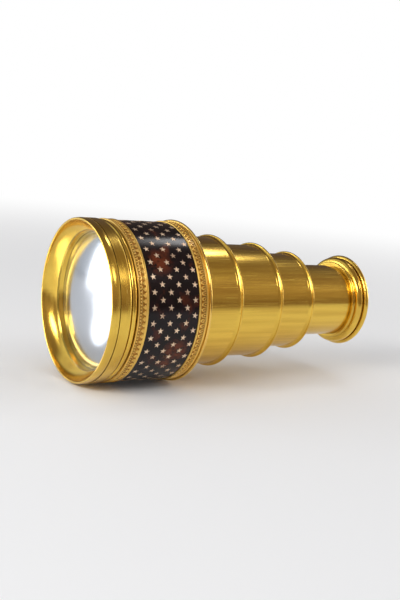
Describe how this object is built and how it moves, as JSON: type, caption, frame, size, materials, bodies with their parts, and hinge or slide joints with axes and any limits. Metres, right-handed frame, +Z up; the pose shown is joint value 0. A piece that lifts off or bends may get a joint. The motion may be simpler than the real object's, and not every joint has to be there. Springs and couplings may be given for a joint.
{
  "type": "spyglass",
  "caption": "Pocket spyglass in gilt brass with telescoping draws, a wide hollow bezel round its objective, and a shell-covered barrel inlaid with gold stars.",
  "frame": {"origin": "on the optical axis, in the middle of the bezel's plain band that a lens cap pushes onto", "axes": "the optical axis is X, with the objective at the -X end and the eyepiece at the +X end; +Z is up as the spyglass lies on its side; all round pieces are centred on X"},
  "size_m": [0.1246, 0.0612, 0.0612],
  "materials": {
    "gilt_brass": "gilt, lacquered and polished, with fine lengthwise brushing on the draws",
    "plain_brass": "turned, unpolished inner fittings",
    "chased_brass": "gilt and chased with small repeated ornament",
    "tortoiseshell": "dark mottled shell, polished",
    "star_gold": "pale gold, pressed in and polished flush",
    "objective_glass": "clear, ground and polished",
    "eye_glass": "clear, ground and polished"
  },
  "bodies": {
    "barrel": {"objective_bezel": "gilt_brass", "objective_cell": "gilt_brass", "crown_lens": "objective_glass", "flint_lens": "objective_glass", "lens_retaining_ring": "plain_brass", "barrel_tube": "gilt_brass", "front_ornament_ring": "chased_brass", "shell_cover": "tortoiseshell", "star_inlays": "star_gold", "rear_ornament_ring": "chased_brass", "barrel_guide_collar": "plain_brass"},
    "draw_1": {"draw_tube_1": "gilt_brass", "draw_bead_1": "gilt_brass", "stop_ring_1": "plain_brass"},
    "draw_2": {"draw_tube_2": "gilt_brass", "draw_bead_2": "gilt_brass", "stop_ring_2": "plain_brass"},
    "draw_3": {"draw_tube_3": "gilt_brass", "draw_bead_3": "gilt_brass", "stop_ring_3": "plain_brass"},
    "draw_4": {"draw_tube_4": "gilt_brass", "stop_ring_4": "plain_brass", "eyepiece_flange": "gilt_brass", "eye_lens_cell": "plain_brass", "eye_lens": "eye_glass", "eye_lens_ring": "plain_brass"}
  },
  "joints": [
    {"name": "draw_1_slide", "type": "slide", "parent": "barrel", "child": "draw_1", "axis": [-1, 0, 0], "range_m": [0, 0.015]},
    {"name": "draw_2_slide", "type": "slide", "parent": "draw_1", "child": "draw_2", "axis": [-1, 0, 0], "range_m": [0, 0.0184]},
    {"name": "draw_3_slide", "type": "slide", "parent": "draw_2", "child": "draw_3", "axis": [-1, 0, 0], "range_m": [0, 0.0156]},
    {"name": "draw_4_slide", "type": "slide", "parent": "draw_3", "child": "draw_4", "axis": [-1, 0, 0], "range_m": [0, 0.0234]}
  ]
}
